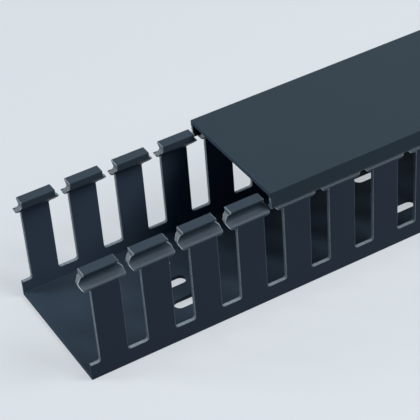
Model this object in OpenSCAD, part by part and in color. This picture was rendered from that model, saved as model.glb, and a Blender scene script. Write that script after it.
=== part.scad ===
// Slotted wire duct: a one-piece trough with punched side walls, and its sliding snap-fit cover.
// Millimetres. X runs along the duct, Y across it and Z up. The origin is on the trough's
// underside, at the middle of its length and width.

/* [Trough] */
// Length of the trough and of the cover, counted in finger pitches
duct_pitches = 25; // [9:1:50]
// Width over the outer faces of the two side walls
trough_w = 58; // [40:1:120]
// Height from the underside to the top of the finger heads
trough_h = 47.5; // [34:0.5:120]
// Thickness of the floor
floor_t = 1.8; // [1.2:0.1:3]
// Thickness of the side walls and their fingers
wall_t = 1.5; // [1.1:0.1:2.2]
// Radius along the lower outer edges
base_edge_r = 0.5; // [0.2:0.1:1]

/* [Fingers] */
// Distance from one finger to the next
finger_pitch = 20; // [18:0.5:30]
// Width of a finger below its head
finger_w = 11.7; // [9:0.1:12.5]
// Height of the uncut strip of wall below the slots, from the underside
sill_h = 7.3; // [5:0.1:20]
// Radius in the bottom corners of each slot
slot_corner_r = 1; // [0.4:0.1:2.5]

/* [Finger heads] */
// Depth of a head, from the bottom of its shoulder to its top
head_h = 6.5; // [6.4:0.1:7.4]
// Gap between the shoulders of neighbouring heads
shoulder_gap = 2.1; // [1.2:0.1:3]
// Radius of a shoulder's lower corners
shoulder_corner_r = 1.8; // [1:0.1:2]
// Gap between the tops of neighbouring heads
head_top_gap = 5.9; // [4.6:0.1:6.5]
// Distance from a wall's outer face to the tip of its heads
head_tip_inset = 1.8; // [1.8:0.1:2.2]
// Width of the flat top of a head, across the duct
head_top_w = 4.6; // [4:0.1:5.5]
// Radius of the groove under the tip, where the cover's hook runs
groove_r = 2.2; // [2:0.1:2.3]

/* [Mounting slots] */
// Length of each mounting slot, end to end
mount_slot_l = 12; // [8:0.5:16]
// Width of each mounting slot
mount_slot_w = 5; // [4:0.1:6]
// Distance between the three rows of mounting slots
mount_row_step = 12.5; // [8:0.5:14]
// Finger pitches from one group of mounting slots to the next
mount_group_pitches = 5; // [3:1:8]

/* [Cover] */
// Thickness of the cover's top
cover_t = 2; // [1.2:0.1:2.5]
// Thickness of the cover's side flanges
flange_t = 1.2; // [1:0.1:1.2]
// Depth of the side flanges below the tops of the finger heads
flange_drop = 4.8; // [4.6:0.1:4.9]
// Distance that each flange stands back from the trough's outer face
cover_inset = 0.3; // [0.2:0.05:0.3]
// Reach of the hook inside each flange
hook_reach = 1; // [0.7:0.1:1]
// Radius along the cover's upper edges
cover_edge_r = 0.6; // [0.3:0.1:1]
// How far the cover is set back from the trough's left end
cover_setback = 79; // [0:0.5:120]
// Gap between the cover's underside and the finger heads
cover_gap = 0.7; // [0.2:0.05:0.8]

/* [Hidden] */
// Facets of a full circle
$fn = 64;
// Overrun of a cutting shape past the faces it leaves
over = 1;

// Radius where a finger's outer face turns into the lip of its head
lip_r = 1.3;
// Thickness of a head's overhanging tip, at its root and at its edge
tip_root_t = 2.4;
tip_edge_t = 0.7;
// Bevel along the two upper edges of a head
head_bevel = 0.3;
// Height of a head's inner face, and of the slope that leads from it down to the finger
head_inner_h = 3;
head_slope_h = 5;
// Height of a shoulder's straight side, and of the taper from there to the head's top
shoulder_side_h = 0.4;
shoulder_taper_h = 2.2;
// Height of the hook's blunt edge, of the lead-in below it and of the catch above it
hook_edge_h = 0.5;
hook_lead_h = 0.5;
hook_catch_h = 0.9;

// Values that follow from the sizes above
duct_l = duct_pitches * finger_pitch;
duct_left = -duct_l / 2;
slot_w = finger_pitch - finger_w;
shoulder_z = trough_h - head_h;
lip_top_z = shoulder_z + lip_r;
groove_z = lip_top_z + groove_r;
groove_y = lip_r + groove_r;
head_inner_y = head_tip_inset + head_top_w;
head_inner_z = trough_h - head_inner_h;
side_z = shoulder_z + shoulder_corner_r + shoulder_side_h;
mount_step = mount_group_pitches * finger_pitch;
mount_groups_each_side = floor((duct_l / 2 - mount_slot_l) / mount_step);
cover_z = trough_h + cover_gap;
cover_top_z = cover_z + cover_t;
flange_z = trough_h - flange_drop;

// Draws a shape at the near wall and its mirror image at the far wall
module both_walls() {
    for (far = [0, 1])
        mirror([far, 0]) translate([-trough_w / 2, 0]) children();
}

// Closes an outline from the near wall's points and their mirror image at the far wall
function mirrored(points) = [
    for (p = points) [p[0] - trough_w / 2, p[1]],
    for (i = [len(points) - 1:-1:0]) [trough_w / 2 - points[i][0], points[i][1]]
];

// What a rounded corner takes off a square one, the corner at the origin and the round above
// and to the right of it
module corner_waste(r) {
    difference() {
        translate([-over, -over]) square(r + over);
        translate([r, r]) circle(r = r);
    }
}

// The trough in section, before its slots are punched: the floor, and two walls whose heads
// lean inward over a rounded lip and a groove
module trough_section() {
    difference() {
        polygon(mirrored([
            [0, 0],
            [0, lip_top_z],
            [lip_r, lip_top_z],
            [groove_y, groove_z],
            [groove_y, trough_h - tip_root_t],
            [head_tip_inset, trough_h - tip_edge_t],
            [head_tip_inset, trough_h - head_bevel],
            [head_tip_inset + head_bevel, trough_h],
            [head_inner_y - head_bevel, trough_h],
            [head_inner_y, trough_h - head_bevel],
            [head_inner_y, head_inner_z],
            [wall_t, head_inner_z - head_slope_h],
            [wall_t, floor_t],
        ]));
        both_walls() {
            corner_waste(base_edge_r);
            translate([0, lip_top_z]) mirror([0, 1]) corner_waste(lip_r);
            translate([lip_r, groove_z]) circle(r = groove_r);
        }
    }
}

// One punched slot seen from the side, on its centre line: a neck with round bottom corners,
// the narrow gap between two shoulders and the wider gap between the heads' tops
module slot_outline() {
    shoulder = shoulder_gap / 2 + shoulder_corner_r;
    half = [
        [slot_w / 2, sill_h],
        [slot_w / 2, shoulder_z],
        [shoulder, shoulder_z],
        [shoulder, shoulder_z + shoulder_corner_r],
        [shoulder_gap / 2, shoulder_z + shoulder_corner_r],
        [shoulder_gap / 2, side_z],
        [head_top_gap / 2, side_z + shoulder_taper_h],
        [head_top_gap / 2, trough_h + over],
    ];
    difference() {
        polygon(concat(half, [for (i = [len(half) - 1:-1:0]) [-half[i][0], half[i][1]]]));
        for (left = [0, 1])
            mirror([left, 0]) {
                translate([slot_w / 2, sill_h]) mirror([1, 0]) corner_waste(slot_corner_r);
                translate([shoulder, shoulder_z + shoulder_corner_r]) circle(r = shoulder_corner_r);
            }
    }
}

// Turns a section drawn across the duct into a length of it, starting at x = 0
module along_duct(length) {
    rotate([90, 0, 90]) linear_extrude(height = length) children();
}

// The slots punched through both side walls, half a slot falling at each end
module finger_slots() {
    for (i = [0:duct_pitches])
        translate([duct_left + i * finger_pitch, trough_w / 2 + over, 0])
            rotate([90, 0, 0]) linear_extrude(height = trough_w + 2 * over) slot_outline();
}

// One round-ended mounting slot through the floor
module mount_slot() {
    straight = mount_slot_l - mount_slot_w;
    translate([0, 0, -over]) linear_extrude(height = floor_t + 2 * over) {
        square([straight, mount_slot_w], center = true);
        for (end = [-1, 1])
            translate([end * straight / 2, 0]) circle(d = mount_slot_w);
    }
}

// Groups of three mounting slots side by side, spaced from the middle of the length
module mount_slots() {
    for (group = [-mount_groups_each_side:mount_groups_each_side])
        for (row = [-1:1])
            translate([group * mount_step, row * mount_row_step, 0]) mount_slot();
}

// The whole trough
module slotted_trough() {
    color([0.19, 0.22, 0.27])
        difference() {
            translate([duct_left, 0, 0])
                along_duct(duct_l) trough_section();
            finger_slots();
            mount_slots();
        }
}

// The cover in section: its flat top, and two flanges whose hooks reach under the heads
module cover_section() {
    inner = cover_inset + flange_t;
    hook_tip = inner + hook_reach;
    hook_top_z = flange_z + hook_lead_h + hook_edge_h;
    difference() {
        polygon(mirrored([
            [cover_inset, cover_top_z],
            [cover_inset, flange_z],
            [inner, flange_z],
            [hook_tip, flange_z + hook_lead_h],
            [hook_tip, hook_top_z],
            [inner, hook_top_z + hook_catch_h],
            [inner, cover_z],
        ]));
        both_walls()
            translate([cover_inset, cover_top_z]) mirror([0, 1]) corner_waste(cover_edge_r);
    }
}

// The whole cover, slid back along the trough
module snap_cover() {
    color([0.24, 0.28, 0.32])
        translate([duct_left + cover_setback, 0, 0])
            along_duct(duct_l) cover_section();
}

slotted_trough();
snap_cover();
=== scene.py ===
import math

import bpy
from mathutils import Matrix, Vector


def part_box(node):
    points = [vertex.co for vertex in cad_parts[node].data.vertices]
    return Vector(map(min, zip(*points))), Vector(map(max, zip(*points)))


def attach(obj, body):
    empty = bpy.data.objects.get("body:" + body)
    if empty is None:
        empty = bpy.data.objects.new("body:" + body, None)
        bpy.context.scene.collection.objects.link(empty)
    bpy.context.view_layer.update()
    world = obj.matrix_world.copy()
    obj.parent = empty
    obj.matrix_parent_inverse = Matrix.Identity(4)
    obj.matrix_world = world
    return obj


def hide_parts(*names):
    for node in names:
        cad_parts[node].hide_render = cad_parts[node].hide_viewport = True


# The looks of a slotted wire duct and its snap-fit cover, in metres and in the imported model's
# frame: X runs along the duct, Y across it and Z up.

bl_info = {
    "name": "Slotted wire duct",
    "version": (1, 0, 0),
    "blender": (4, 5, 0),
    "location": "3D View > Sidebar > Wire duct",
    "description": "Models a slotted plastic wire duct, its snap-fit cover and a plain studio",
    "category": "Add Mesh",
}

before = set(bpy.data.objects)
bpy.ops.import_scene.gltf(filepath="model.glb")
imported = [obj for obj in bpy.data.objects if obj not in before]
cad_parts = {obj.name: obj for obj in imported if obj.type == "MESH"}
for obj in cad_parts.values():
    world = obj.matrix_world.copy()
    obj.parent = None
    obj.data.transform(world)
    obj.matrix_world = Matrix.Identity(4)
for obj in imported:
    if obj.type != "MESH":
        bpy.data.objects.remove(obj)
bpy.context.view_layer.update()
TROUGH_LOW, TROUGH_HIGH = (Vector(corner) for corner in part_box("slotted_trough"))
COVER_LOW, COVER_HIGH = (Vector(corner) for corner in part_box("snap_cover"))

MM = 0.001
HALF_WIDTH = TROUGH_HIGH.y
TROUGH_TOP = TROUGH_HIGH.z
COVER_TOP = COVER_HIGH.z
# How far a cutting shape runs past the faces that it leaves
OVERRUN = 1 * MM
# Distances under which two points count as one: while a shape is drawn, where finger pitches
# meet, and after the rounding
SAME_POINT = MM / 1000
SAME_JOINT = MM / 500
SAME_ROUNDING = MM / 200
# How far above a level the middle of a face may lie and still belong to it
LEVEL_SLACK = MM / 100
# A face looks along the duct when its normal has at least this much of X
END_NORMAL = 0.99
# Facets of a quarter turn, on the section and on the punched outlines
SECTION_STEPS = 7
PUNCH_STEPS = 5
# Facets of the groove, of a shoulder's round, of its turn into the taper, and of the round end of
# a mounting slot
GROOVE_STEPS = 14
SHOULDER_STEPS = 7
TAPER_STEPS = 3
MOUNT_STEPS = 15
# Units of one finger pitch between two groups of mounting slots, and the one that holds them
UNITS_PER_GROUP = 5
MOUNTED_UNIT = 2
# Edges sharper than the first angle are rounded. Faces that meet at less than the second are
# shaded as one.
ROUNDED_FROM = math.radians(50)
SMOOTH_UNDER = math.radians(32)
# Across the duct, inward from the outer face: how far the lips' painted highlight is full, and where
# it ends
LIP_TONE_FULL = 1.5 * MM
LIP_TONE_END = 4.2 * MM
# Height of the middle of the painted highlight above a shoulder's bottom, as a share of the lip's
# radius
LIP_TONE_HEIGHT = 0.75
# How much of a face's direction lies along X or Z where a tone starts and where it is full, on
# faces that look left (a painted highlight), right (painted shade) and up (a painted highlight)
LEFTWARD = (0.2, -0.5)
RIGHTWARD = (0.02, 0.2)
UPWARD = (0.7, 0.95)
# Sockets of a Mix node that mixes colours: its factor, its two colours and its result
MIX_FACTOR = 0
MIX_FIRST = 6
MIX_SECOND = 7
MIX_RESULT = 2
# Side of the studio's floor, and the shares of its colour that the camera sees: an even glow, and
# what the lamps light
FLOOR_SIDE = 12
FLOOR_GLOW = 0.62
FLOOR_LIT = 0.32
# What the lamps point at
LIT_SPOT = (-0.12, 0, 0.03)
# Where the camera stands, and its turns about X, Y and Z in degrees
CAMERA_PLACE = (-0.41068, -0.43257, 0.41029)
CAMERA_TURNS = (51.983, 3.665, -30.846)


def length(name, description, default):
    return bpy.props.FloatProperty(
        name=name, description=description, default=default, min=0.0, precision=5,
        subtype="DISTANCE", unit="LENGTH",
    )


def colour(name, description, default):
    return bpy.props.FloatVectorProperty(
        name=name, description=description, default=default, min=0.0, max=1.0, size=3,
        subtype="COLOR",
    )


def factor(name, description, default, top=1.0):
    return bpy.props.FloatProperty(
        name=name, description=description, default=default, min=0.0, max=top,
        subtype="FACTOR" if top == 1.0 else "NONE",
    )


class DuctSizes(bpy.types.PropertyGroup):
    """Real sizes of the trough and the cover"""

    pitch: length("Finger pitch", "Distance from one finger to the next", 20 * MM)
    finger_width: length("Finger width", "Width of a finger below its head", 11.7 * MM)
    wall: length("Wall", "Thickness of the side walls", 1.5 * MM)
    floor: length("Floor", "Thickness of the floor", 1.8 * MM)
    sill: length("Sill height", "Height of the uncut wall below the slots", 7.3 * MM)
    slot_corner: length("Slot corner", "Radius in a slot's bottom corners", 1 * MM)
    base_edge: length("Base edge", "Radius along the lower outer edges", 0.5 * MM)
    inner_corner: length("Inner corner", "Radius where the floor meets a wall", 0.3 * MM)
    head: length("Head depth", "From a shoulder's bottom to the head's top", 6.5 * MM)
    shoulder_gap: length("Shoulder gap", "Gap between neighbouring shoulders", 2.1 * MM)
    shoulder_corner: length("Shoulder corner", "Radius of a shoulder's corners", 1.8 * MM)
    shoulder_side: length("Shoulder side", "Height of a shoulder's straight side", 0.4 * MM)
    shoulder_turn: length("Shoulder turn", "Radius between that side and the taper", 0.9 * MM)
    shoulder_taper: length("Shoulder taper", "Height of the taper above it", 2.2 * MM)
    top_gap: length("Top gap", "Gap between the tops of neighbouring heads", 5.9 * MM)
    lip: length("Lip", "Radius where the outer face turns into the lip", 1.3 * MM)
    groove: length("Groove", "Radius of the groove under a head's tip", 2.2 * MM)
    tip_inset: length("Tip inset", "From the outer face to a head's tip", 1.8 * MM)
    tip_root: length("Tip root", "Thickness of the tip at its root", 2.4 * MM)
    tip_edge: length("Tip edge", "Thickness of the tip at its edge", 0.7 * MM)
    top_width: length("Top width", "Width of a head's flat top", 4.6 * MM)
    head_edge: length("Head edge", "Radius along a head's two upper edges", 0.3 * MM)
    head_inner: length("Head inner face", "Height of a head's inner face", 3 * MM)
    head_slope: length("Head slope", "Height of the slope below it", 5 * MM)
    mount_length: length("Mounting slot length", "From end to end", 12 * MM)
    mount_width: length("Mounting slot width", "Across the slot", 5 * MM)
    mount_row: length("Mounting rows", "Distance between the rows", 12.5 * MM)
    cover_sheet: length("Cover", "Thickness of the cover's top", 2 * MM)
    flange: length("Flange", "Thickness of the cover's flanges", 1.2 * MM)
    flange_drop: length("Flange drop", "Depth of the flanges below the heads' tops", 4.8 * MM)
    cover_inset: length("Cover inset", "From the trough's outer face to a flange", 0.3 * MM)
    cover_edge: length("Cover edge", "Radius along the cover's upper edges", 0.6 * MM)
    hook_reach: length("Hook reach", "How far a hook reaches inward", 1 * MM)
    hook_edge: length("Hook edge", "Height of the hook's blunt edge", 0.5 * MM)
    hook_lead: length("Hook lead", "Height of the lead-in below the hook's edge", 0.5 * MM)
    hook_catch: length("Hook catch", "Height of the catch above the hook's edge", 0.9 * MM)
    cut_edge: length("Cut edge", "Rounding that punching and sawing leave", 0.25 * MM)


class DuctFinish(bpy.types.PropertyGroup):
    """Colours and finish of the plastic, and the tones that paint light and shade into it"""

    trough_colour: colour("Trough", "Extruded skin of the trough", (0.0258, 0.0370, 0.0560))
    # Painted light on the walls' inner faces: the skin's plastic, made lighter
    inner_painted_light_colour: colour("Inside", "Painted light on the walls' inner faces", (0.0440, 0.0640, 0.0950))
    # Painted light on the inner floor: the skin's plastic, made lighter
    floor_colour: colour("Inner floor", "Painted light on the inner floor", (0.0310, 0.0465, 0.0670))
    cover_colour: colour("Cover", "Extruded skin of the cover", (0.0255, 0.0400, 0.0520))
    # Painted light on the heads above their lips: the skin's plastic, made lighter
    head_painted_light_colour: colour("Heads", "Painted light on the heads above their lips", (0.0340, 0.0488, 0.0646))
    # Painted highlight on the lips, on their rounded tops
    lip_highlight_colour: colour("Lip highlight", "Painted highlight on the lips", (0.079, 0.100, 0.124))
    punched_colour: colour("Punched faces", "Faces that the punch left", (0.072, 0.094, 0.114))
    # Cut edges: partly the paler cut plastic, partly a painted highlight
    edge_whitening_and_highlight_colour: colour("Cut edges", "Rounded cut edges", (0.170, 0.212, 0.245))
    # Painted highlight on the left cut ends of the heads, which face the light from the left
    left_end_highlight_colour: colour("Left-end highlight", "Left cut ends of the heads", (0.640, 0.700, 0.730))
    sawn_colour: colour("Sawn ends", "Faces that the saw left", (0.038, 0.058, 0.082))
    skin_roughness: factor("Skin roughness", "Satin of the extruded skin", 0.42)
    cut_roughness: factor("Cut roughness", "Roughness of punched faces and edges", 0.48)
    sawn_roughness: factor("Sawn roughness", "Roughness of sawn faces", 0.75)


class StudioSettings(bpy.types.PropertyGroup):
    """Floor, light and camera"""

    floor_colour: colour("Backdrop", "Colour of the floor and backdrop", (0.72, 0.76, 0.80))
    bounce_colour: colour("Bounce", "Share of light that the floor throws back", (0.06, 0.08, 0.12))
    room_colour: colour("Room colour", "Colour of the even light", (0.35, 0.72, 1.0))
    world_strength: factor("Room light", "Strength of the even light", 0.10, 5.0)
    front_power: bpy.props.FloatProperty(
        name="Front light", description="Power of the light in front", default=15.5,
        min=0.0, subtype="POWER", unit="POWER",
    )
    top_power: bpy.props.FloatProperty(
        name="Overhead light", description="Power of the light above", default=3.4,
        min=0.0, subtype="POWER", unit="POWER",
    )
    side_power: bpy.props.FloatProperty(
        name="Side light", description="Power of the light at the back left", default=3.9,
        min=0.0, subtype="POWER", unit="POWER",
    )
    lens: bpy.props.FloatProperty(
        name="Lens", description="Focal length on a 36 mm sensor", default=140.1,
        min=1.0, subtype="DISTANCE_CAMERA", unit="CAMERA",
    )


# Modelling helpers


def deselect():
    bpy.ops.object.select_all(action="DESELECT")


def only(piece):
    deselect()
    piece.select_set(True)
    bpy.context.view_layer.objects.active = piece


def apply_modifier(piece, kind, **settings):
    only(piece)
    modifier = piece.modifiers.new(kind.lower(), kind)
    for name, value in settings.items():
        setattr(modifier, name, value)
    bpy.ops.object.modifier_apply(modifier=modifier.name)


class Outline:
    """An outline drawn point by point with extrude and spin, then filled and pulled into a solid."""

    def __init__(self, name, start, axis):
        deselect()
        bpy.ops.mesh.primitive_plane_add(size=MM)
        self.piece = bpy.context.object
        self.piece.name = self.piece.data.name = name
        bpy.ops.object.mode_set(mode="EDIT")
        bpy.ops.mesh.select_mode(type="VERT")
        bpy.ops.mesh.select_all(action="SELECT")
        bpy.ops.mesh.merge(type="CENTER")
        bpy.ops.transform.translate(value=start)
        self.at = Vector(start)
        self.axis = Vector(axis)

    def line(self, *point):
        step = Vector(point) - self.at
        bpy.ops.mesh.extrude_region_move(TRANSFORM_OT_translate={"value": step})
        self.at = Vector(point)

    def arc(self, centre, degrees, steps):
        """Positive degrees run clockwise as seen with the axis pointing at the viewer."""
        angle = math.radians(degrees)
        bpy.ops.mesh.spin(steps=steps, angle=angle, center=centre, axis=self.axis)
        centre = Vector(centre)
        self.at = centre + Matrix.Rotation(-angle, 3, self.axis) @ (self.at - centre)

    def mirror(self, x=False, y=False):
        bpy.ops.object.mode_set(mode="OBJECT")
        apply_modifier(
            self.piece, "MIRROR", use_axis=(x, y, False), use_mirror_merge=True,
            merge_threshold=SAME_POINT,
        )
        bpy.ops.object.mode_set(mode="EDIT")

    def pull(self, along):
        bpy.ops.mesh.select_all(action="SELECT")
        bpy.ops.mesh.remove_doubles(threshold=SAME_POINT)
        bpy.ops.mesh.edge_face_add()
        bpy.ops.mesh.extrude_region_move(TRANSFORM_OT_translate={"value": along})
        bpy.ops.mesh.select_all(action="SELECT")
        bpy.ops.mesh.normals_make_consistent(inside=False)
        bpy.ops.object.mode_set(mode="OBJECT")
        return self.piece


def copy_of(piece, offset):
    """A copy with its own mesh, moved in its mesh."""
    only(piece)
    bpy.ops.object.duplicate()
    copy = bpy.context.object
    bpy.ops.object.mode_set(mode="EDIT")
    bpy.ops.mesh.select_all(action="SELECT")
    bpy.ops.transform.translate(value=offset)
    bpy.ops.object.mode_set(mode="OBJECT")
    return copy


def join(pieces, name):
    deselect()
    for piece in pieces:
        piece.select_set(True)
    bpy.context.view_layer.objects.active = pieces[0]
    bpy.ops.object.join()
    pieces[0].name = pieces[0].data.name = name
    return pieces[0]


def select_faces(piece, test):
    """Enters edit mode with just those faces selected whose middle and normal pass the test."""
    only(piece)
    bpy.ops.object.mode_set(mode="EDIT")
    bpy.ops.mesh.select_mode(type="FACE")
    bpy.ops.mesh.select_all(action="DESELECT")
    bpy.ops.object.mode_set(mode="OBJECT")
    for face in piece.data.polygons:
        face.select = test(face.center, face.normal)
    bpy.ops.object.mode_set(mode="EDIT")


def cut(piece, cutter):
    """Cuts the cutter out of the piece. The new faces take the cutter's material."""
    apply_modifier(
        piece, "BOOLEAN", operation="DIFFERENCE", solver="EXACT", object=cutter,
        material_mode="TRANSFER",
    )


def remove(piece):
    bpy.data.objects.remove(piece)


def punch(piece, cutter, offsets):
    """Cuts a copy of the cutter out of the piece at each offset. The cutter is used up."""
    for offset in offsets:
        placed = copy_of(cutter, offset)
        cut(piece, placed)
        remove(placed)
    remove(cutter)


def merge_points(piece, distance):
    only(piece)
    bpy.ops.object.mode_set(mode="EDIT")
    bpy.ops.mesh.select_all(action="SELECT")
    bpy.ops.mesh.remove_doubles(threshold=distance)
    bpy.ops.object.mode_set(mode="OBJECT")


def looks_along(normal):
    """Whether a face with this normal looks along the duct, as the ends do."""
    return abs(normal.x) > END_NORMAL


def give(piece, *materials):
    piece.data.materials.clear()
    for material in materials:
        piece.data.materials.append(material)


def finish_mesh(piece, cut_edge, edge_slot):
    """Rounds the cut edges, gives them the edge material and shades the flats flat."""
    apply_modifier(
        piece, "BEVEL", width=cut_edge, segments=2, limit_method="ANGLE",
        angle_limit=ROUNDED_FROM, use_clamp_overlap=False, material=edge_slot,
    )
    merge_points(piece, SAME_ROUNDING)
    bpy.ops.object.shade_smooth_by_angle(angle=SMOOTH_UNDER)
    apply_modifier(piece, "WEIGHTED_NORMAL", mode="FACE_AREA", weight=50, keep_sharp=True)


# Materials


def group_of(name, inputs, outputs):
    group = bpy.data.node_groups.new(name, "ShaderNodeTree")
    for label, kind, value in inputs:
        socket = group.interface.new_socket(label, in_out="INPUT", socket_type="NodeSocket" + kind)
        socket.default_value = value
    for label, kind in outputs:
        group.interface.new_socket(label, in_out="OUTPUT", socket_type="NodeSocket" + kind)
    enter = group.nodes.new("NodeGroupInput")
    leave = group.nodes.new("NodeGroupOutput")
    return group, enter, leave


def add_node(tree, kind, values=None, links=None, **settings):
    node = tree.nodes.new("ShaderNode" + kind)
    for name, value in settings.items():
        setattr(node, name, value)
    for socket, value in (values or {}).items():
        node.inputs[socket].default_value = value
    for socket, source in (links or {}).items():
        tree.links.new(source, node.inputs[socket])
    return node


def calculate(tree, operation, *terms, **settings):
    """The result of a Math node whose terms are numbers or the sockets of other nodes."""
    numbers = {i: term for i, term in enumerate(terms) if isinstance(term, float)}
    sockets = {i: term for i, term in enumerate(terms) if i not in numbers}
    return add_node(
        tree, "Math", values=numbers, links=sockets, operation=operation, **settings
    ).outputs[0]


def lined_plastic():
    """Node group: tool lines drawn out in one direction, a fine grain and slow shifts of tone."""
    name = "lined_plastic"
    if name in bpy.data.node_groups:
        return bpy.data.node_groups[name]
    group, enter, leave = group_of(
        name,
        [
            ("Colour", "Color", (0.03, 0.04, 0.05, 1.0)),
            ("Stretch", "Vector", (6.0, 900.0, 900.0)),
            ("Line tone", "Float", 0.15),
            ("Cloud tone", "Float", 0.1),
            ("Roughness", "Float", 0.45),
            ("Roughness shift", "Float", 0.08),
            ("Line height", "Float", 0.5),
            ("Grain height", "Float", 0.4),
        ],
        [("Colour", "Color"), ("Roughness", "Float"), ("Height", "Float")],
    )
    asked = enter.outputs
    place = add_node(group, "TexCoord").outputs["Object"]
    stretched = add_node(
        group, "VectorMath", operation="MULTIPLY", links={0: place, 1: asked["Stretch"]},
    ).outputs[0]

    def noise(vector, scale, detail, roughness):
        return add_node(
            group, "TexNoise", values={"Scale": scale, "Detail": detail, "Roughness": roughness},
            links={"Vector": vector},
        ).outputs["Fac"]

    def centred(value, amount):
        """(value - 0.5) * amount"""
        return calculate(group, "MULTIPLY", calculate(group, "SUBTRACT", value, 0.5), amount)

    lines = noise(stretched, scale=1.0, detail=3.0, roughness=0.6)
    grain = noise(place, scale=3200.0, detail=2.0, roughness=0.55)
    cloud = noise(place, scale=26.0, detail=2.0, roughness=0.5)
    shifts = calculate(
        group, "ADD", centred(lines, asked["Line tone"]), centred(cloud, asked["Cloud tone"])
    )
    shade = add_node(
        group, "VectorMath", operation="SCALE",
        links={0: asked["Colour"], "Scale": calculate(group, "ADD", shifts, 1.0)},
    ).outputs[0]
    rough = calculate(
        group, "ADD", asked["Roughness"], centred(lines, asked["Roughness shift"]), use_clamp=True
    )
    height = calculate(
        group, "ADD", calculate(group, "MULTIPLY", lines, asked["Line height"]),
        calculate(group, "MULTIPLY", grain, asked["Grain height"]),
    )
    group.links.new(shade, leave.inputs["Colour"])
    group.links.new(rough, leave.inputs["Roughness"])
    group.links.new(height, leave.inputs["Height"])
    return group


def duct_zones():
    """Node group: masks, from 0 to 1, of the zones of the trough that take painted light and shade.
    """
    name = "duct_zones"
    if name in bpy.data.node_groups:
        return bpy.data.node_groups[name]
    masks = ("Lips", "Left ends", "Right sides", "Slot bottoms", "Heads", "Inside", "Floor")
    group, enter, leave = group_of(
        name,
        [
            ("Lip height", "Float", 0.042),
            ("Fade below", "Float", MM),
            ("Fade above", "Float", MM),
            ("Wall middle", "Float", 0.028),
            ("Floor middle", "Float", MM),
            ("Floor top", "Float", 2 * MM),
        ],
        [(mask, "Float") for mask in masks],
    )
    asked = enter.outputs
    coordinates = add_node(group, "TexCoord").outputs
    spot = add_node(group, "SeparateXYZ", links={0: coordinates["Object"]}).outputs
    facing = add_node(group, "SeparateXYZ", links={0: coordinates["Normal"]}).outputs
    side = calculate(group, "ABSOLUTE", spot["Y"])

    def times(first, second):
        return calculate(group, "MULTIPLY", first, second)

    def faded(away, reach):
        """1 at no distance, falling to 0 at that reach."""
        return add_node(
            group, "MapRange", interpolation_type="SMOOTHSTEP",
            values={"From Min": 0.0, "To Min": 1.0, "To Max": 0.0},
            links={"Value": away, "From Max": reach},
        ).outputs[0]

    def rising(value, start, full):
        """0 where the value is start, rising to 1 where it is full."""
        return add_node(
            group, "MapRange", interpolation_type="SMOOTHSTEP",
            values={"From Min": start, "From Max": full}, links={"Value": value},
        ).outputs[0]

    above = calculate(group, "SUBTRACT", spot["Z"], asked["Lip height"])
    below = calculate(group, "SUBTRACT", asked["Lip height"], spot["Z"])
    band = times(faded(above, asked["Fade above"]), faded(below, asked["Fade below"]))
    lips = times(band, rising(side, HALF_WIDTH - LIP_TONE_END, HALF_WIDTH - LIP_TONE_FULL))
    under_lips = calculate(group, "LESS_THAN", spot["Z"], asked["Lip height"])
    inside = times(
        calculate(group, "LESS_THAN", side, asked["Wall middle"]),
        calculate(group, "GREATER_THAN", spot["Z"], asked["Floor middle"]),
    )
    # Lips, left ends and slot bottoms take painted highlights, right sides painted shade, and heads,
    # inside and floor painted light
    zones = (
        lips,
        times(lips, rising(facing["X"], *LEFTWARD)),
        times(under_lips, rising(facing["X"], *RIGHTWARD)),
        rising(facing["Z"], *UPWARD),
        calculate(group, "GREATER_THAN", spot["Z"], asked["Lip height"]),
        inside,
        times(inside, calculate(group, "LESS_THAN", spot["Z"], asked["Floor top"])),
    )
    for mask, zone in zip(masks, zones):
        group.links.new(zone, leave.inputs[mask])
    return group


def tint_zones(material, sizes, fade_below, fade_above, **tones):
    """Paints light and shade into zones, under the plastic's lines. Later tones cover earlier ones.
    """
    tree = material.node_tree
    surface = next(node for node in tree.nodes if node.type == "GROUP")
    colour_in = surface.inputs["Colour"]
    zones = tree.nodes.new("ShaderNodeGroup")
    zones.node_tree = duct_zones()
    for name, value in {
        "Lip height": TROUGH_TOP - sizes.head + LIP_TONE_HEIGHT * sizes.lip,
        "Fade below": fade_below,
        "Fade above": fade_above,
        "Wall middle": HALF_WIDTH - sizes.wall / 2,
        "Floor middle": sizes.floor / 2,
        "Floor top": sizes.floor + sizes.inner_corner / 2,
    }.items():
        zones.inputs[name].default_value = value
    for mask, tone in tones.items():
        mix = add_node(
            tree, "Mix", data_type="RGBA", values={MIX_SECOND: (*tone, 1.0)},
            links={MIX_FACTOR: zones.outputs[mask.replace("_", " ").capitalize()]},
        )
        if colour_in.is_linked:
            tree.links.new(colour_in.links[0].from_socket, mix.inputs[MIX_FIRST])
        else:
            mix.inputs[MIX_FIRST].default_value = colour_in.default_value
        tree.links.new(mix.outputs[MIX_RESULT], colour_in)


def plastic(name, tone, roughness, stretch, specular=0.06, relief=0.02, **amounts):
    """A plastic whose tool lines run along the direction in which stretch is small."""
    if name in bpy.data.materials:
        return bpy.data.materials[name]
    material = bpy.data.materials.new(name)
    material.use_nodes = True
    tree = material.node_tree
    shader = tree.nodes["Principled BSDF"]
    shader.inputs["Specular IOR Level"].default_value = specular
    surface = tree.nodes.new("ShaderNodeGroup")
    surface.node_tree = lined_plastic()
    surface.inputs["Colour"].default_value = (*tone, 1.0)
    surface.inputs["Roughness"].default_value = roughness
    surface.inputs["Stretch"].default_value = stretch
    for label, value in amounts.items():
        surface.inputs[label.replace("_", " ").capitalize()].default_value = value
    bump = add_node(
        tree, "Bump", values={"Strength": relief, "Distance": MM},
        links={"Height": surface.outputs["Height"]},
    )
    tree.links.new(surface.outputs["Colour"], shader.inputs["Base Color"])
    tree.links.new(surface.outputs["Roughness"], shader.inputs["Roughness"])
    tree.links.new(bump.outputs["Normal"], shader.inputs["Normal"])
    return material


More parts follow.
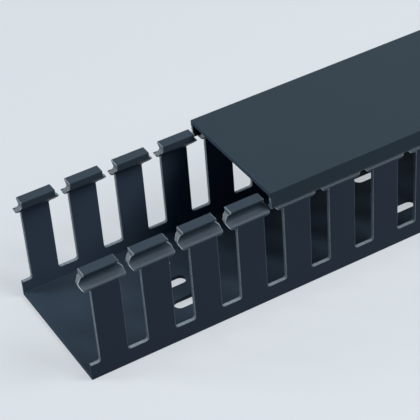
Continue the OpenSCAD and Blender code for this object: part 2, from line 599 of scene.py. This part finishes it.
def duct_materials(finish, sizes):
    """Skin of trough and cover, punched faces, cut edges and sawn ends, with painted light and
    shade.
    """
    # How fine the tool lines are along X, Y and Z: coarse along their run and fine across it
    along = (7.0, 1100.0, 1100.0)
    across = (1500.0, 60.0, 1500.0)
    upright = (1500.0, 1500.0, 90.0)
    is_new = "trough_skin" not in bpy.data.materials
    looks = {
        "trough": plastic(
            "trough_skin", finish.trough_colour, finish.skin_roughness, along,
            line_tone=0.12, cloud_tone=0.14,
        ),
        "cover": plastic(
            "cover_skin", finish.cover_colour, finish.skin_roughness, along,
            line_tone=0.10, cloud_tone=0.12,
        ),
        "punched": plastic(
            "punched_face", finish.punched_colour, finish.cut_roughness, across,
            specular=0.3, relief=0.08, line_tone=0.9, cloud_tone=0.3,
        ),
        "edge": plastic(
            "cut_edge", finish.edge_whitening_and_highlight_colour, finish.cut_roughness, across,
            specular=0.5, relief=0.06, line_tone=1.8, cloud_tone=0.5,
        ),
        "sawn": plastic(
            "sawn_end", finish.sawn_colour, finish.sawn_roughness, upright,
            specular=0.02, relief=0.08, line_tone=0.4, cloud_tone=0.2,
        ),
    }
    if is_new:
        # Painted light on the inside, the inner floor and the heads, and a painted highlight on the
        # lips
        tint_zones(
            looks["trough"], sizes, fade_below=1.1 * MM, fade_above=1.4 * MM,
            inside=finish.inner_painted_light_colour, floor=finish.floor_colour, heads=finish.head_painted_light_colour,
            lips=finish.lip_highlight_colour,
        )
        # Painted highlights: punched faces that look up take the pale edge tone, and the heads' left
        # cut ends a near-white tone
        tint_zones(
            looks["punched"], sizes, fade_below=1.5 * MM, fade_above=2.2 * MM,
            slot_bottoms=finish.edge_whitening_and_highlight_colour, left_ends=finish.left_end_highlight_colour,
        )
        # Painted shade on the right-facing cut edges below the lips, which take the skin's dark
        # tone, and a painted highlight on the heads' left cut ends
        tint_zones(
            looks["edge"], sizes, fade_below=1.5 * MM, fade_above=7 * MM,
            right_sides=finish.trough_colour, left_ends=finish.left_end_highlight_colour,
        )
    return looks


# The trough


def across_near(distance):
    """Y of a point that lies that far inward from the near wall's outer face."""
    return distance - HALF_WIDTH


def trough_unit(sizes, skin):
    """One finger pitch of the trough before its slots are punched, centred on a finger."""
    x = -sizes.pitch / 2
    top = TROUGH_TOP
    shoulder_z = top - sizes.head
    groove_z = shoulder_z + sizes.lip + sizes.groove
    groove_y = across_near(sizes.lip + sizes.groove)
    tip_y = across_near(sizes.tip_inset)
    inner_y = across_near(sizes.tip_inset + sizes.top_width)
    wall_y = across_near(sizes.wall)
    inner_z = top - sizes.head_inner
    edge = sizes.head_edge
    corner = sizes.inner_corner
    steps = SECTION_STEPS
    section = Outline("trough_unit", (x, 0, 0), (1, 0, 0))
    section.line(x, across_near(sizes.base_edge), 0)
    section.arc((x, across_near(sizes.base_edge), sizes.base_edge), 90, steps)
    section.line(x, across_near(0), shoulder_z)
    section.arc((x, across_near(sizes.lip), shoulder_z), 90, steps)
    section.arc((x, across_near(sizes.lip), groove_z), -90, GROOVE_STEPS)
    section.line(x, groove_y, top - sizes.tip_root)
    section.line(x, tip_y, top - sizes.tip_edge)
    section.line(x, tip_y, top - edge)
    section.arc((x, tip_y + edge, top - edge), 90, steps)
    section.line(x, inner_y - edge, top)
    section.arc((x, inner_y - edge, top - edge), 90, steps)
    section.line(x, inner_y, inner_z)
    section.line(x, wall_y, inner_z - sizes.head_slope)
    section.line(x, wall_y, sizes.floor + corner)
    section.arc((x, wall_y + corner, sizes.floor + corner), -90, steps)
    section.line(x, 0, sizes.floor)
    section.mirror(y=True)
    unit = section.pull((sizes.pitch, 0, 0))
    give(unit, skin)
    return unit


def finger_slot_cutter(sizes, punched):
    """One side slot as a solid that runs through both walls, at x = 0."""
    y = -HALF_WIDTH - OVERRUN
    half = (sizes.pitch - sizes.finger_width) / 2
    neck = half - sizes.slot_corner
    shoulder_z = TROUGH_TOP - sizes.head
    radius = sizes.shoulder_corner
    gap = sizes.shoulder_gap / 2
    side_z = shoulder_z + radius + sizes.shoulder_side
    top_gap = sizes.top_gap / 2
    slant = math.atan2(top_gap - gap, sizes.shoulder_taper)
    turn = sizes.shoulder_turn
    turn_z = side_z - turn * math.tan(slant / 2)
    over_z = TROUGH_TOP + OVERRUN
    outline = Outline("finger_slot", (0, y, sizes.sill), (0, 1, 0))
    outline.line(neck, y, sizes.sill)
    outline.arc((neck, y, sizes.sill + sizes.slot_corner), 90, PUNCH_STEPS)
    outline.line(half, y, shoulder_z)
    outline.line(gap + radius, y, shoulder_z)
    outline.arc((gap + radius, y, shoulder_z + radius), -90, SHOULDER_STEPS)
    outline.line(gap, y, turn_z)
    outline.arc((gap + turn, y, turn_z), -math.degrees(slant), TAPER_STEPS)
    outline.line(top_gap, y, side_z + sizes.shoulder_taper)
    outline.line(top_gap, y, over_z)
    outline.line(0, y, over_z)
    outline.mirror(x=True)
    cutter = outline.pull((0, 2 * (HALF_WIDTH + OVERRUN), 0))
    give(cutter, punched)
    return cutter


def mount_slot_cutter(sizes, punched):
    """One round-ended mounting slot as a solid that runs through the floor, at the origin."""
    z = -OVERRUN
    half = (sizes.mount_length - sizes.mount_width) / 2
    radius = sizes.mount_width / 2
    outline = Outline("mount_slot", (-half, -radius, z), (0, 0, 1))
    outline.line(half, -radius, z)
    outline.arc((half, 0, z), -180, MOUNT_STEPS)
    outline.line(-half, radius, z)
    outline.arc((-half, 0, z), -180, MOUNT_STEPS)
    cutter = outline.pull((0, 0, sizes.floor + 2 * OVERRUN))
    give(cutter, punched)
    return cutter


def open_ends(unit, half_pitch):
    """Takes off the two end faces, where the unit meets its neighbours."""
    select_faces(
        unit, lambda middle, normal: looks_along(normal)
        and abs(abs(middle.x) - half_pitch) < SAME_POINT,
    )
    bpy.ops.mesh.delete(type="FACE")
    bpy.ops.object.mode_set(mode="OBJECT")


def close_ends(piece, slot):
    """Fills the open ends and gives them the material in that slot."""
    only(piece)
    bpy.ops.object.mode_set(mode="EDIT")
    bpy.ops.mesh.select_mode(type="EDGE")
    for end in (TROUGH_LOW.x, TROUGH_HIGH.x):
        bpy.ops.mesh.select_all(action="DESELECT")
        bpy.ops.object.mode_set(mode="OBJECT")
        mesh = piece.data
        used = {}
        for face in mesh.polygons:
            for key in face.edge_keys:
                used[key] = used.get(key, 0) + 1
        for edge in mesh.edges:
            at_end = all(abs(mesh.vertices[v].co.x - end) < SAME_POINT for v in edge.vertices)
            edge.select = at_end and used.get(edge.key, 0) == 1
        bpy.ops.object.mode_set(mode="EDIT")
        bpy.ops.mesh.edge_face_add()
    bpy.ops.mesh.select_all(action="SELECT")
    bpy.ops.mesh.normals_make_consistent(inside=False)
    bpy.ops.object.mode_set(mode="OBJECT")
    for face in piece.data.polygons:
        if looks_along(face.normal) and abs(abs(face.center.x) - TROUGH_HIGH.x) < SAME_POINT:
            face.material_index = slot


class WIREDUCT_OT_trough(bpy.types.Operator):
    """Model the trough: its section pulled along one finger pitch, punched, and repeated"""

    bl_idname = "wireduct.trough"
    bl_label = "Trough"

    def execute(self, context):
        sizes = context.scene.duct_sizes
        looks = duct_materials(context.scene.duct_finish, sizes)
        half_pitch = sizes.pitch / 2
        unit = trough_unit(sizes, looks["trough"])
        punch(
            unit, finger_slot_cutter(sizes, looks["punched"]),
            [(side * half_pitch, 0, 0) for side in (-1, 1)],
        )
        mounted = copy_of(unit, (0, 0, 0))
        punch(
            mounted, mount_slot_cutter(sizes, looks["trough"]),
            [(0, row * sizes.mount_row, 0) for row in (-1, 0, 1)],
        )
        open_ends(unit, half_pitch)
        open_ends(mounted, half_pitch)
        first = TROUGH_LOW.x + half_pitch
        group = [
            copy_of(mounted if i == MOUNTED_UNIT else unit, (first + i * sizes.pitch, 0, 0))
            for i in range(UNITS_PER_GROUP)
        ]
        remove(unit)
        remove(mounted)
        trough = join(group, "trough")
        run = TROUGH_HIGH.x - TROUGH_LOW.x
        group_run = UNITS_PER_GROUP * sizes.pitch
        apply_modifier(
            trough, "ARRAY", count=round(run / group_run), use_relative_offset=False,
            use_constant_offset=True, constant_offset_displace=(group_run, 0, 0),
            use_merge_vertices=False,
        )
        merge_points(trough, SAME_JOINT)
        trough.data.materials.append(looks["edge"])
        trough.data.materials.append(looks["sawn"])
        skin = 0
        edge = len(trough.data.materials) - 2
        sawn = edge + 1
        close_ends(trough, sawn)
        finish_mesh(trough, sizes.cut_edge, edge)
        for face in trough.data.polygons:
            at_end = abs(face.center.x) > TROUGH_HIGH.x - MM
            if at_end and face.material_index == edge:
                face.material_index = sawn
            elif not at_end and face.center.z < sizes.floor + LEVEL_SLACK:
                face.material_index = skin
        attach(trough, "trough")
        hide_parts("slotted_trough")
        return {"FINISHED"}


# The cover


class WIREDUCT_OT_cover(bpy.types.Operator):
    """Model the cover: a flat sheet with two hooked flanges, pulled along its whole length"""

    bl_idname = "wireduct.cover"
    bl_label = "Cover"

    def execute(self, context):
        sizes = context.scene.duct_sizes
        looks = duct_materials(context.scene.duct_finish, sizes)
        x = COVER_LOW.x
        under_z = COVER_TOP - sizes.cover_sheet
        flange_z = TROUGH_TOP - sizes.flange_drop
        edge_z = flange_z + sizes.hook_lead
        catch_z = edge_z + sizes.hook_edge
        outer_y = across_near(sizes.cover_inset)
        inner_y = outer_y + sizes.flange
        hook_y = inner_y + sizes.hook_reach
        radius = sizes.cover_edge
        section = Outline("cover", (x, 0, COVER_TOP), (1, 0, 0))
        section.line(x, outer_y + radius, COVER_TOP)
        section.arc((x, outer_y + radius, COVER_TOP - radius), -90, SECTION_STEPS)
        section.line(x, outer_y, flange_z)
        section.line(x, inner_y, flange_z)
        section.line(x, hook_y, edge_z)
        section.line(x, hook_y, catch_z)
        section.line(x, inner_y, catch_z + sizes.hook_catch)
        section.line(x, inner_y, under_z)
        section.line(x, 0, under_z)
        section.mirror(y=True)
        cover = section.pull((COVER_HIGH.x - x, 0, 0))
        give(cover, looks["cover"], looks["sawn"], looks["edge"])
        sawn, edge = 1, 2
        # Below this level the ends and their edges are the flanges' alone
        split_z = under_z - 2 * sizes.cut_edge
        select_faces(cover, lambda middle, normal: looks_along(normal))
        bpy.ops.mesh.bisect(plane_co=(0, 0, split_z), plane_no=(0, 0, 1), threshold=SAME_POINT)
        bpy.ops.object.mode_set(mode="OBJECT")
        for face in cover.data.polygons:
            if looks_along(face.normal):
                face.material_index = sawn
        finish_mesh(cover, sizes.cut_edge, sawn)
        # The flanges' ends and their edges take the pale edge tone, a painted highlight; the sheet's
        # end keeps the sawn tone
        for face in cover.data.polygons:
            if face.material_index == sawn and face.center.z < split_z:
                face.material_index = edge
        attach(cover, "cover")
        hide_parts("snap_cover")
        return {"FINISHED"}


# The studio


def soft_light(name, power, size, place, aim, spread=math.pi):
    bpy.ops.object.light_add(type="AREA", location=place)
    light = bpy.context.object
    light.name = light.data.name = name
    light.data.energy = power
    light.data.shape = "RECTANGLE"
    light.data.size, light.data.size_y = size
    light.data.spread = spread
    light.rotation_euler = (Vector(aim) - Vector(place)).to_track_quat("-Z", "Y").to_euler()


def seen_directly(tree):
    """1 where the camera, a reflection or a view through glass meets the floor or backdrop."""
    path = add_node(tree, "LightPath").outputs
    either = calculate(tree, "MAXIMUM", path["Is Camera Ray"], path["Is Glossy Ray"])
    return calculate(tree, "MAXIMUM", either, path["Is Transmission Ray"])


def studio_floor(studio):
    """A floor that shows its pale colour but throws back only a little light."""
    deselect()
    bpy.ops.mesh.primitive_plane_add(size=FLOOR_SIDE)
    floor = bpy.context.object
    floor.name = floor.data.name = "studio_floor"
    material = bpy.data.materials.new("studio_floor")
    material.use_nodes = True
    tree = material.node_tree
    shader = tree.nodes["Principled BSDF"]
    shader.inputs["Roughness"].default_value = 0.9
    shader.inputs["Specular IOR Level"].default_value = 0.1
    shader.inputs["Emission Strength"].default_value = 1.0
    seen = seen_directly(tree)
    for socket, unseen, share in (
        ("Base Color", studio.bounce_colour, FLOOR_LIT),
        ("Emission Color", (0.0, 0.0, 0.0), FLOOR_GLOW),
    ):
        shown = [share * value for value in studio.floor_colour]
        shade = add_node(
            tree, "Mix", data_type="RGBA", links={MIX_FACTOR: seen},
            values={MIX_FIRST: (*unseen, 1.0), MIX_SECOND: (*shown, 1.0)},
        )
        tree.links.new(shade.outputs[MIX_RESULT], shader.inputs[socket])
    give(floor, material)


def studio_world(scene, studio):
    """Even, weak room light, behind which the backdrop is as pale as the floor."""
    world = bpy.data.worlds.new("studio_world")
    scene.world = world
    world.use_nodes = True
    tree = world.node_tree
    room = tree.nodes["Background"]
    room.inputs["Color"].default_value = (*studio.room_colour, 1.0)
    room.inputs["Strength"].default_value = studio.world_strength
    backdrop = add_node(
        tree, "Background", values={"Color": (*studio.floor_colour, 1.0), "Strength": 1.0}
    )
    mix = add_node(
        tree, "MixShader",
        links={0: seen_directly(tree), 1: room.outputs[0], 2: backdrop.outputs[0]},
    )
    tree.links.new(mix.outputs[0], tree.nodes["World Output"].inputs["Surface"])


def studio_camera(scene, studio):
    bpy.ops.object.camera_add(
        location=CAMERA_PLACE, rotation=[math.radians(turn) for turn in CAMERA_TURNS]
    )
    camera = bpy.context.object
    camera.name = camera.data.name = "camera"
    camera.data.lens = studio.lens
    camera.data.sensor_width = 36.0
    camera.data.clip_start = 0.01
    scene.camera = camera


class WIREDUCT_OT_studio(bpy.types.Operator):
    """Set up the pale floor, the soft light and the camera"""

    bl_idname = "wireduct.studio"
    bl_label = "Studio"

    def execute(self, context):
        studio = context.scene.duct_studio
        studio_floor(studio)
        studio_world(context.scene, studio)
        soft_light(
            "front_light", studio.front_power, size=(0.60, 0.80), place=(0.48, -0.58, 0.92),
            aim=LIT_SPOT,
        )
        soft_light(
            "overhead_light", studio.top_power, size=(0.35, 0.50), place=(-0.20, 0.08, 1.20),
            aim=LIT_SPOT,
        )
        soft_light(
            "side_light", studio.side_power, size=(0.5, 0.8), place=(-1.40, 0.80, 0.56),
            aim=LIT_SPOT, spread=math.radians(80),
        )
        studio_camera(context.scene, studio)
        context.scene.view_settings.view_transform = "Standard"
        return {"FINISHED"}


class WIREDUCT_PT_panel(bpy.types.Panel):
    """Sizes, finish and the steps that build the duct"""

    bl_idname = "WIREDUCT_PT_panel"
    bl_label = "Wire duct"
    bl_space_type = "VIEW_3D"
    bl_region_type = "UI"
    bl_category = "Wire duct"

    def draw(self, context):
        column = self.layout.column()
        for settings in (
            context.scene.duct_sizes, context.scene.duct_finish, context.scene.duct_studio,
        ):
            for name in settings.bl_rna.properties.keys():
                if name not in ("rna_type", "name"):
                    column.prop(settings, name)
        for step in STEPS:
            column.operator(step.bl_idname)


STEPS = (WIREDUCT_OT_studio, WIREDUCT_OT_trough, WIREDUCT_OT_cover)
SETTINGS = {"duct_sizes": DuctSizes, "duct_finish": DuctFinish, "duct_studio": StudioSettings}
CLASSES = (*SETTINGS.values(), *STEPS, WIREDUCT_PT_panel)


def register():
    for kind in CLASSES:
        bpy.utils.register_class(kind)
    for name, kind in SETTINGS.items():
        setattr(bpy.types.Scene, name, bpy.props.PointerProperty(type=kind))


def unregister():
    for name in SETTINGS:
        delattr(bpy.types.Scene, name)
    for kind in reversed(CLASSES):
        bpy.utils.unregister_class(kind)


def main():
    register()
    bpy.ops.wireduct.studio()
    bpy.ops.wireduct.trough()
    bpy.ops.wireduct.cover()


if __name__ == "__main__":
    main()
